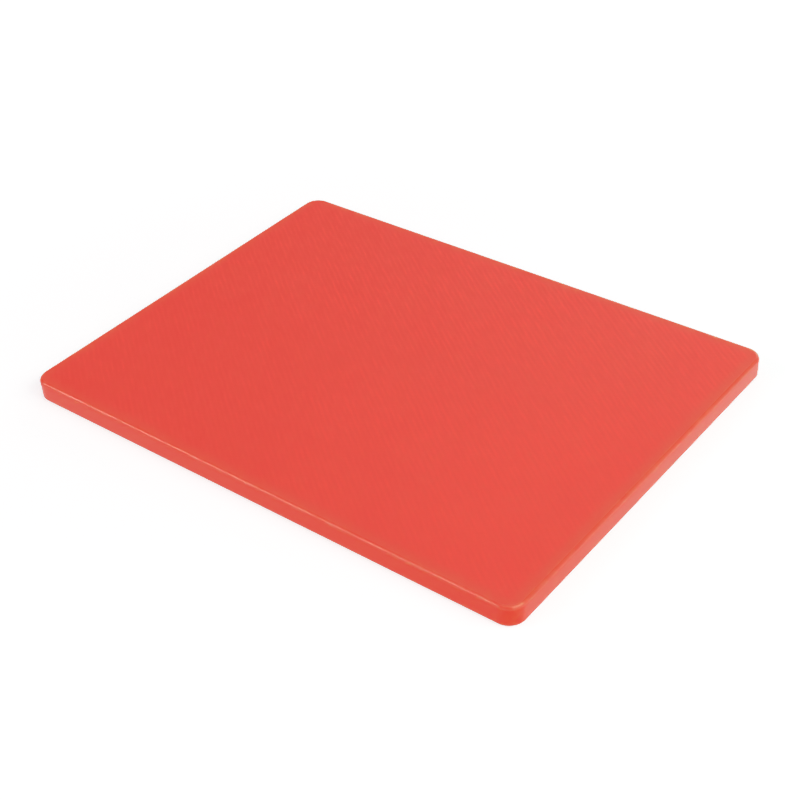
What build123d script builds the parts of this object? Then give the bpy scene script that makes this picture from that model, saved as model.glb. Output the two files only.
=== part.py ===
from build123d import *
import os

# A one-piece cutting board: a flat slab of solid plastic, the same on both faces.
# Millimetres. The origin is the middle of the underside, +X runs along the length,
# +Y across the width, and +Z up to the work face.

# Driving dimensions
LENGTH = 305.0
WIDTH = 229.0
THICKNESS = 12.0
CORNER_RADIUS = 9.0  # the four upright corners, seen from above
EDGE_RADIUS = 2.0  # the rim where each face turns into the sides


def cutting_board():
    """The slab, square-sided, with rounded corners and a rounded rim on both faces."""
    with BuildPart() as slab:
        with BuildSketch(Plane.XY):
            RectangleRounded(LENGTH, WIDTH, CORNER_RADIUS)
        extrude(amount=THICKNESS)
        rims = slab.faces().filter_by(Axis.Z).edges()
        fillet(rims, EDGE_RADIUS)
    board = slab.part
    board.label = "cutting_board"
    return board


os.makedirs("parts", exist_ok=True)
export_step(cutting_board(), "parts/cutting_board.step")
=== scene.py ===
import math

import bmesh
import bpy
from mathutils import Matrix, Vector


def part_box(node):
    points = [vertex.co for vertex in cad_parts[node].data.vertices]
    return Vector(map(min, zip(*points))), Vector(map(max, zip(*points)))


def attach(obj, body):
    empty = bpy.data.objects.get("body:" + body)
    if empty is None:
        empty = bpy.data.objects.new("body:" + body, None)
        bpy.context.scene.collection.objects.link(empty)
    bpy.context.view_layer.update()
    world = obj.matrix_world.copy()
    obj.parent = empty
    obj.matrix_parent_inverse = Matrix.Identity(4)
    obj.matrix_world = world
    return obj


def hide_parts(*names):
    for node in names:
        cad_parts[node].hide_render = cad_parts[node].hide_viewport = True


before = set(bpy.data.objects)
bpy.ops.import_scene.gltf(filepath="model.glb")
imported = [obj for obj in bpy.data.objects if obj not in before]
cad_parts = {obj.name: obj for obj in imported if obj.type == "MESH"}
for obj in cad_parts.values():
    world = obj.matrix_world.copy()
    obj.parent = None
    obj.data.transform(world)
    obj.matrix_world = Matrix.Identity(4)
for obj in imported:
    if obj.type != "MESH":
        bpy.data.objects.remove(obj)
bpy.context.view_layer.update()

# Metres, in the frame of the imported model: origin in the middle of the underside, +X along the
# length, +Y across the width, +Z up.
MM = 0.001
BOARD = "cutting_board"
low, high = [Vector(corner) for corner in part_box(BOARD)]
LENGTH = high.x - low.x
WIDTH = high.y - low.y
THICKNESS = high.z - low.z
CORNER_RADIUS = 9 * MM
EDGE_RADIUS = 2 * MM

# ---------------------------------------------------------------- camera

CAMERA_AZIMUTH = math.radians(39.43)
CAMERA_ELEVATION = math.radians(36.73)
CAMERA_ROLL = math.radians(-3.50)
CAMERA_DISTANCE = 776.0 * MM
CAMERA_TARGET = Vector((16.48, -5.82, 0)) * MM
LENS = 67.72
SENSOR_WIDTH = 36.0
SHIFT_X = -0.0192
CLIP_START = 0.01
CLIP_END = 50.0


def towards(azimuth, elevation):
    """The direction from the board to something at that azimuth and elevation."""
    flat = math.cos(elevation)
    return Vector((math.sin(azimuth) * flat, -math.cos(azimuth) * flat, math.sin(elevation)))


def aim(obj, place, target, roll=0.0):
    """Stands obj at place with its -Z axis at target, turned about that axis by roll."""
    turn = (target - place).to_track_quat("-Z", "Y").to_matrix().to_4x4()
    obj.matrix_world = Matrix.Translation(place) @ turn @ Matrix.Rotation(roll, 4, "Z")


def make_camera():
    data = bpy.data.cameras.new("camera")
    data.lens = LENS
    data.sensor_width = SENSOR_WIDTH
    data.shift_x = SHIFT_X
    data.clip_start = CLIP_START
    data.clip_end = CLIP_END
    camera = bpy.data.objects.new("camera", data)
    bpy.context.collection.objects.link(camera)
    place = CAMERA_TARGET + towards(CAMERA_AZIMUTH, CAMERA_ELEVATION) * CAMERA_DISTANCE
    aim(camera, place, CAMERA_TARGET, CAMERA_ROLL)
    bpy.context.scene.camera = camera


# ---------------------------------------------------------------- node helpers


class Nodes:
    """Short ways to add nodes to one node tree and link them."""

    def __init__(self, tree):
        self.tree = tree

    def add(self, kind, inputs=None, **settings):
        node = self.tree.nodes.new("ShaderNode" + kind)
        for name, value in settings.items():
            setattr(node, name, value)
        for name, value in (inputs or {}).items():
            self.put(node.inputs[name], value)
        return node

    def put(self, socket, value):
        """Links value to socket if it is another node's output, or sets it."""
        if isinstance(value, bpy.types.NodeSocket):
            self.tree.links.new(value, socket)
        else:
            socket.default_value = value

    def math(self, operation, a, b=None, c=None):
        node = self.add("Math", operation=operation)
        for socket, value in zip(node.inputs, (a, b, c)):
            if value is not None:
                self.put(socket, value)
        return node.outputs[0]

    def spread(self, value, from_low, from_high, to_low, to_high, smooth=False):
        """Maps value from one range onto another, and clamps it there."""
        node = self.add("MapRange", {"Value": value, "From Min": from_low, "From Max": from_high,
                                     "To Min": to_low, "To Max": to_high})
        node.interpolation_type = "SMOOTHSTEP" if smooth else "LINEAR"
        return node.outputs["Result"]

    def noise(self, vector, scale, detail, roughness):
        node = self.add("TexNoise", {"Vector": vector, "Scale": scale, "Detail": detail,
                                     "Roughness": roughness})
        return node.outputs["Fac"]

    def mix(self, factor, a, b):
        """Colour a where factor is 0, colour b where it is 1."""
        node = self.add("Mix", data_type="RGBA")
        self.put(node.inputs["Factor"], factor)
        self.put([s for s in node.inputs if s.name == "A" and s.type == "RGBA"][0], a)
        self.put([s for s in node.inputs if s.name == "B" and s.type == "RGBA"][0], b)
        return [s for s in node.outputs if s.type == "RGBA"][0]


def new_material(name):
    material = bpy.data.materials.new(name)
    material.use_nodes = True
    tree = material.node_tree
    shader = tree.nodes["Principled BSDF"]
    return material, Nodes(tree), shader


# ---------------------------------------------------------------- the plastic

# Colour: the flat faces', and what the rim and the walls multiply it by.
PLASTIC = (0.690, 0.0572, 0.0434)
# The rim's tint is painted light: lighter green and blue as a painted glow of light through the
# translucent edge, and less red as painted shade.
RIM_GLOW_TINT = (0.84, 1.32, 1.12)
# Painted shade on the walls: darker in green and blue, so a deeper red than the faces.
WALL_SHADE_TINT = (0.90, 0.52, 0.20)

# Slow cloudy variation over the faces, of colour and roughness, and the fine grain of the skin.
CLOUD_SCALE = 14.0
CLOUD_LOW = 0.3
CLOUD_HIGH = 0.7
CLOUD_SHADE = 0.02
GRAIN_SCALE = 900.0
GRAIN_DEPTH = 0.004 * MM

# The grip texture: V grooves along the board's two diagonals, the main ones along the diagonal
# from the far (-X, +Y) corner to the near (+X, -Y) corner, with streaks along that one too.
PITCH = 2.75 * MM
GROOVE_DEPTH = 0.03 * MM
MAIN_SHARE = 0.8
STREAK_SCALE = 520.0
STREAK_STRETCH = 5.0
STREAK_WEIGHT = 3.0

# How much the texture's painted groove shade and its streaks mark the plastic: it fades from the
# far corner towards the near one, between these two places along that diagonal.
FAR_SHADE = 0.11
NEAR_SHADE = FAR_SHADE * 0.3
FADE_START = -100 * MM
FADE_END = 120 * MM

# In from the sides: where the texture starts, and how soon it is at its full depth; and where the
# polished rim turns into the satin face.
FIELD_MARGIN = 2.0 * MM
FIELD_FADE = 2.5 * MM
RIM_END = 1.2 * MM
FACE_START = 2.0 * MM
RIM_ROUGHNESS = 0.03
FACE_ROUGHNESS_LOW = 0.59
FACE_ROUGHNESS_HIGH = 0.65

# Below the nearer flat face: where the wall's painted shade starts, and where it is complete.
WALL_SHADE_START = 1.1 * MM
WALL_SHADE_FULL = 2.2 * MM

IOR = 1.5
SPECULAR_TINT = (1.0, 0.82, 0.60, 1.0)
SUBSURFACE_RADIUS = (0.5, 1.3, 0.9)
SUBSURFACE_SCALE = 8 * MM


def tinted(tint):
    """The plastic's colour times a tint, one factor for each channel."""
    return tuple(part * factor for part, factor in zip(PLASTIC, tint)) + (1.0,)


def slanted(nodes, x, y, part_x, part_y):
    """How far along the line through the middle that goes part_x in X for part_y in Y."""
    whole = math.hypot(part_x, part_y)
    return nodes.math("MULTIPLY_ADD", y, part_y / whole, nodes.math("MULTIPLY", x, part_x / whole))


def groove(nodes, across):
    """0 in the bottom of a V groove, 1 on the land between two grooves."""
    wave = nodes.math("PINGPONG", across, PITCH / 2)
    return nodes.spread(wave, 0.0, PITCH / 2, 0.0, 1.0)


def grooves(nodes, x, y):
    """The height of both sets of grooves, 0 to 1."""
    main = groove(nodes, slanted(nodes, x, y, WIDTH, LENGTH))
    weaker = groove(nodes, slanted(nodes, x, y, -WIDTH, LENGTH))
    return nodes.math("MULTIPLY_ADD", main, MAIN_SHARE,
                      nodes.math("MULTIPLY", weaker, 1.0 - MAIN_SHARE))


def groove_shade_and_streaks(nodes, x, y, z, hatch, field):
    """What the grip texture multiplies the colour by, around 1: painted shade, the grooves darker
    and the lands lighter, with random streaks along the main grooves.
    """
    across = slanted(nodes, x, y, WIDTH, LENGTH)
    along = slanted(nodes, x, y, -LENGTH, WIDTH)
    stretched = nodes.math("MULTIPLY", along, 1.0 / STREAK_STRETCH)
    place = nodes.add("CombineXYZ", {"X": across, "Y": stretched, "Z": z}).outputs[0]
    streak = nodes.noise(place, STREAK_SCALE, detail=2.0, roughness=0.5)
    lines = nodes.math("MULTIPLY_ADD", streak, STREAK_WEIGHT, hatch)
    average = 0.5 + 0.5 * STREAK_WEIGHT
    lines = nodes.math("SUBTRACT", lines, average)
    near = slanted(nodes, x, y, LENGTH, -WIDTH)
    strength = nodes.spread(near, FADE_START, FADE_END, FAR_SHADE, NEAR_SHADE)
    strength = nodes.math("MULTIPLY", strength, field)
    return nodes.math("MULTIPLY_ADD", lines, strength, 1.0)


def inward_from_sides(nodes, x, y):
    """How far in from the sides, seen from above: 0 on them, the corner radius in the middle."""
    past_x = nodes.math("SUBTRACT", nodes.math("ABSOLUTE", x), LENGTH / 2 - CORNER_RADIUS)
    past_y = nodes.math("SUBTRACT", nodes.math("ABSOLUTE", y), WIDTH / 2 - CORNER_RADIUS)
    past_x = nodes.math("MAXIMUM", past_x, 0.0)
    past_y = nodes.math("MAXIMUM", past_y, 0.0)
    square = nodes.math("MULTIPLY_ADD", past_x, past_x, nodes.math("MULTIPLY", past_y, past_y))
    return nodes.math("SUBTRACT", CORNER_RADIUS, nodes.math("SQRT", square))


def board_plastic():
    """Satin red polyethylene with a fine diagonal grip texture on its two flat faces."""
    material, nodes, shader = new_material("board_plastic")
    place = nodes.add("TexCoord").outputs["Object"]
    x, y, z = nodes.add("SeparateXYZ", {"Vector": place}).outputs
    grain = nodes.noise(place, GRAIN_SCALE, detail=3.0, roughness=0.6)
    cloud = nodes.noise(place, CLOUD_SCALE, detail=3.0, roughness=0.55)
    hatch = grooves(nodes, x, y)

    # Where on the board: field is 1 where the grip texture is, flat on the satin faces; the rim's
    # painted glow and shade are on the sides and fade inwards, and the walls' painted shade is on
    # the upright part of the sides.
    inward = inward_from_sides(nodes, x, y)
    field = nodes.spread(inward, FIELD_MARGIN, FIELD_MARGIN + FIELD_FADE, 0.0, 1.0, smooth=True)
    flat = nodes.spread(inward, RIM_END, FACE_START, 0.0, 1.0, smooth=True)
    # Painted rim glow and shade: strongest at the sides, gone a corner radius in.
    painted_rim_glow = nodes.spread(inward, 0.0, CORNER_RADIUS, 1.0, 0.0, smooth=True)
    height = nodes.math("ABSOLUTE", nodes.math("SUBTRACT", z, low.z + THICKNESS / 2))
    # Painted wall shade: full on the upright part of the sides.
    painted_wall_shade = nodes.spread(height, THICKNESS / 2 - WALL_SHADE_FULL, THICKNESS / 2 - WALL_SHADE_START, 1.0, 0.0,
                        smooth=True)

    fine = nodes.add("Bump", {"Height": nodes.math("MULTIPLY", grain, flat),
                              "Distance": GRAIN_DEPTH, "Strength": 1.0})
    relief = nodes.math("MULTIPLY", hatch, field)
    bump = nodes.add("Bump", {"Height": relief, "Distance": GROOVE_DEPTH, "Strength": 1.0,
                              "Normal": fine.outputs["Normal"]})
    nodes.put(shader.inputs["Normal"], bump.outputs["Normal"])

    shade = nodes.spread(cloud, CLOUD_LOW, CLOUD_HIGH, 0.0, 1.0)
    dark = tinted([1.0 - CLOUD_SHADE] * 3)
    light = tinted([1.0 + CLOUD_SHADE] * 3)
    body = nodes.mix(shade, dark, light)
    # Painted shade in the grooves and lighter lands, with random streaks.
    tone = groove_shade_and_streaks(nodes, x, y, z, hatch, field)
    scaled = nodes.add("VectorMath", {0: body, "Scale": tone}, operation="SCALE")
    # Painted glow and shade over the rim.
    body = nodes.mix(painted_rim_glow, scaled.outputs["Vector"], tinted(RIM_GLOW_TINT))
    # Painted shade on the walls.
    nodes.put(shader.inputs["Base Color"], nodes.mix(painted_wall_shade, body, tinted(WALL_SHADE_TINT)))

    rough = nodes.spread(cloud, CLOUD_LOW, CLOUD_HIGH, FACE_ROUGHNESS_LOW - RIM_ROUGHNESS,
                         FACE_ROUGHNESS_HIGH - RIM_ROUGHNESS)
    rough = nodes.math("MULTIPLY_ADD", flat, rough, RIM_ROUGHNESS)
    nodes.put(shader.inputs["Roughness"], rough)
    shader.inputs["IOR"].default_value = IOR
    shader.inputs["Specular Tint"].default_value = SPECULAR_TINT
    shader.inputs["Subsurface Weight"].default_value = 1.0
    shader.inputs["Subsurface Radius"].default_value = SUBSURFACE_RADIUS
    shader.inputs["Subsurface Scale"].default_value = SUBSURFACE_SCALE
    return material


# ---------------------------------------------------------------- the board

STRAIGHT_STEP = 3.5 * MM
CORNER_STEPS = 24
RIM_STEPS = 12
# Rings of quads over the flat outside the middle, as parts of its width, and down half the wall,
# as parts of its height.
FLAT_PARTS = (0.35, 0.7, 1.0)
WALL_PARTS = (0.25, 0.5)


def grid_lines(half):
    """Evenly spaced places from -half to half, about STRAIGHT_STEP apart."""
    count = round(2 * half / STRAIGHT_STEP)
    return [half * (2 * i / count - 1) for i in range(count + 1)]


def profile():
    """From the flat middle out over the rim and down to the other flat: (how far out, height)."""
    flat = CORNER_RADIUS - EDGE_RADIUS
    stations = [(flat * part, THICKNESS) for part in FLAT_PARTS]
    for i in range(1, RIM_STEPS + 1):
        turn = math.pi / 2 * i / RIM_STEPS
        out = flat + EDGE_RADIUS * math.sin(turn)
        stations.append((out, THICKNESS - EDGE_RADIUS * (1 - math.cos(turn))))
    for part in WALL_PARTS:
        drop = EDGE_RADIUS + (THICKNESS - 2 * EDGE_RADIUS) * part
        stations.append((CORNER_RADIUS, THICKNESS - drop))
    upper = stations[:-1]
    return stations + [(out, THICKNESS - height) for out, height in reversed(upper)]


def board_mesh():
    """A closed shell: two flat grids, and quads over the rims and walls that join them."""
    build = bmesh.new()
    xs = grid_lines(LENGTH / 2 - CORNER_RADIUS)
    ys = grid_lines(WIDTH / 2 - CORNER_RADIUS)
    last_i = len(xs) - 1
    last_j = len(ys) - 1
    sheets = {}
    for height in (THICKNESS, 0.0):
        for i, x in enumerate(xs):
            for j, y in enumerate(ys):
                sheets[height, i, j] = build.verts.new((x, y, low.z + height))
    for height in (THICKNESS, 0.0):
        for i in range(last_i):
            for j in range(last_j):
                corners = [sheets[height, i, j], sheets[height, i + 1, j],
                           sheets[height, i + 1, j + 1], sheets[height, i, j + 1]]
                build.faces.new(corners if height else corners[::-1])

    # Stops around the flat middle, counter-clockwise from the -Y end of the +X side: the grid
    # point that each stands on, and its way out as an angle from +X.
    sides = [
        ([(last_i, j) for j in range(last_j + 1)], 0.0),
        ([(i, last_j) for i in range(last_i, -1, -1)], math.pi / 2),
        ([(0, j) for j in range(last_j, -1, -1)], math.pi),
        ([(i, 0) for i in range(last_i + 1)], 3 * math.pi / 2),
    ]
    turn = math.pi / 2 / CORNER_STEPS
    stops = []
    for cells, angle in sides:
        stops += [(cell, angle) for cell in cells]
        stops += [(cells[-1], angle + turn * step) for step in range(1, CORNER_STEPS)]

    stations = profile()
    rows = []
    for (i, j), angle in stops:
        way = Vector((math.cos(angle), math.sin(angle), 0))
        foot = Vector((xs[i], ys[j], low.z))
        outer = [foot + way * out + Vector((0, 0, height)) for out, height in stations]
        row = [sheets[THICKNESS, i, j]]
        row += [build.verts.new(place) for place in outer]
        row.append(sheets[0.0, i, j])
        rows.append(row)
    for here, there in zip(rows, rows[1:] + rows[:1]):
        for k in range(len(here) - 1):
            around = [here[k], here[k + 1], there[k + 1], there[k]]
            distinct = [v for n, v in enumerate(around) if v not in around[:n]]
            if len(distinct) > 2:
                build.faces.new(distinct)
    bmesh.ops.recalc_face_normals(build, faces=build.faces)
    mesh = bpy.data.meshes.new("board")
    build.to_mesh(mesh)
    build.free()
    for polygon in mesh.polygons:
        polygon.use_smooth = True
    return mesh


def make_board():
    board = bpy.data.objects.new("board", board_mesh())
    bpy.context.collection.objects.link(board)
    board.data.materials.append(board_plastic())
    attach(board, "root")
    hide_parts(BOARD)


# ---------------------------------------------------------------- floor and lights

FLOOR_HALF = 40.0
FLOOR_CELLS = 8
FLOOR_DROP = 0.02 * MM
FLOOR_GREY = (0.25, 0.25, 0.25, 1)
FLOOR_ROUGHNESS = 0.9
# The floor's own light keeps it white: (how far from the middle, strength) around the board, at
# the edge of the lit part, and far off, where no light reaches.
GLOW_BOARD = (0.15, 0.82)
GLOW_ROUND = (0.6, 0.98)
GLOW_FAR = (2.5, 1.28)

# How bright the studio is all around, and how bright its band at the horizon. The one turns into
# the other between two heights, as the sine of the elevation.
STUDIO_GLOW = 0.25
HORIZON_GLOW = 1.3
HORIZON_LOW = 0.02
HORIZON_HIGH = 0.08

# Name, azimuth and elevation in degrees, distance, width and height in metres, power in watts,
# colour. The key has a brighter core.
LIGHTS = [
    ("key", 88, 40, 2.0, 2.0, 0.95, 35.5, (0.86, 1.0, 0.95)),
    ("key_core", 84, 42, 1.95, 0.5, 0.4, 7.6, (0.92, 1.0, 0.95)),
    ("fill", -40, 31, 3.75, 2.55, 0.97, 76.0, (1.0, 0.66, 0.77)),
    ("overhead", 0, 89, 1.6, 1.6, 1.6, 4.0, (1.0, 1.0, 1.0)),
    ("background", -170, 24, 1.7, 1.6, 0.6, 6.0, (1.0, 1.0, 1.0)),
]

# The picture's tone curve, (light, how much of it is shown): the reds of the board lie in its
# flatter middle, and TONE_WHITE and all above it is white.
TONE_WHITE = 1.12
TONE_CURVE = [(0.15, 0.15), (0.3, 0.34), (0.6, 0.74), (0.83, 0.785), (0.94, 0.86), (1.02, 0.93)]


def make_floor():
    build = bmesh.new()
    bmesh.ops.create_grid(build, x_segments=FLOOR_CELLS, y_segments=FLOOR_CELLS, size=FLOOR_HALF)
    mesh = bpy.data.meshes.new("floor")
    build.to_mesh(mesh)
    build.free()
    floor = bpy.data.objects.new("floor", mesh)
    floor.location.z = low.z - FLOOR_DROP
    bpy.context.collection.objects.link(floor)
    material, nodes, shader = new_material("floor_white")
    shader.inputs["Base Color"].default_value = FLOOR_GREY
    shader.inputs["Roughness"].default_value = FLOOR_ROUGHNESS
    shader.inputs["Specular IOR Level"].default_value = 0.0
    place = nodes.add("TexCoord").outputs["Object"]
    away = nodes.add("VectorMath", {0: place}, operation="LENGTH").outputs["Value"]
    near = nodes.spread(away, GLOW_BOARD[0], GLOW_ROUND[0], GLOW_BOARD[1], GLOW_ROUND[1],
                        smooth=True)
    far = nodes.spread(away, GLOW_ROUND[0], GLOW_FAR[0], 0.0, GLOW_FAR[1] - GLOW_ROUND[1],
                       smooth=True)
    shader.inputs["Emission Color"].default_value = (1, 1, 1, 1)
    nodes.put(shader.inputs["Emission Strength"], nodes.math("ADD", near, far))
    floor.data.materials.append(material)


def make_world():
    world = bpy.data.worlds.new("studio")
    bpy.context.scene.world = world
    world.use_nodes = True
    nodes = Nodes(world.node_tree)
    backdrop = world.node_tree.nodes["Background"]
    backdrop.inputs["Color"].default_value = (1, 1, 1, 1)
    way = nodes.add("TexCoord").outputs["Generated"]
    up = nodes.add("SeparateXYZ", {"Vector": way}).outputs["Z"]
    glow = nodes.spread(up, HORIZON_LOW, HORIZON_HIGH, HORIZON_GLOW, STUDIO_GLOW, smooth=True)
    nodes.put(backdrop.inputs["Strength"], glow)


def soft_light(name, azimuth, elevation, distance, size_x, size_y, power, color):
    """A rectangular light that shines at the middle of the board, with its angles in degrees."""
    data = bpy.data.lights.new(name, "AREA")
    data.shape = "RECTANGLE"
    data.size = size_x
    data.size_y = size_y
    data.energy = power
    data.color = color
    light = bpy.data.objects.new(name, data)
    bpy.context.collection.objects.link(light)
    place = towards(math.radians(azimuth), math.radians(elevation)) * distance
    aim(light, place, Vector((0, 0, 0)))


def set_tone():
    settings = bpy.context.scene.view_settings
    settings.view_transform = "Standard"
    settings.use_curve_mapping = True
    tone = settings.curve_mapping
    tone.white_level = (TONE_WHITE, TONE_WHITE, TONE_WHITE)
    combined = tone.curves[3]
    for value, shown in TONE_CURVE:
        combined.points.new(value / TONE_WHITE, shown)
    tone.update()


make_camera()
make_floor()
make_world()
for light in LIGHTS:
    soft_light(*light)
set_tone()
make_board()
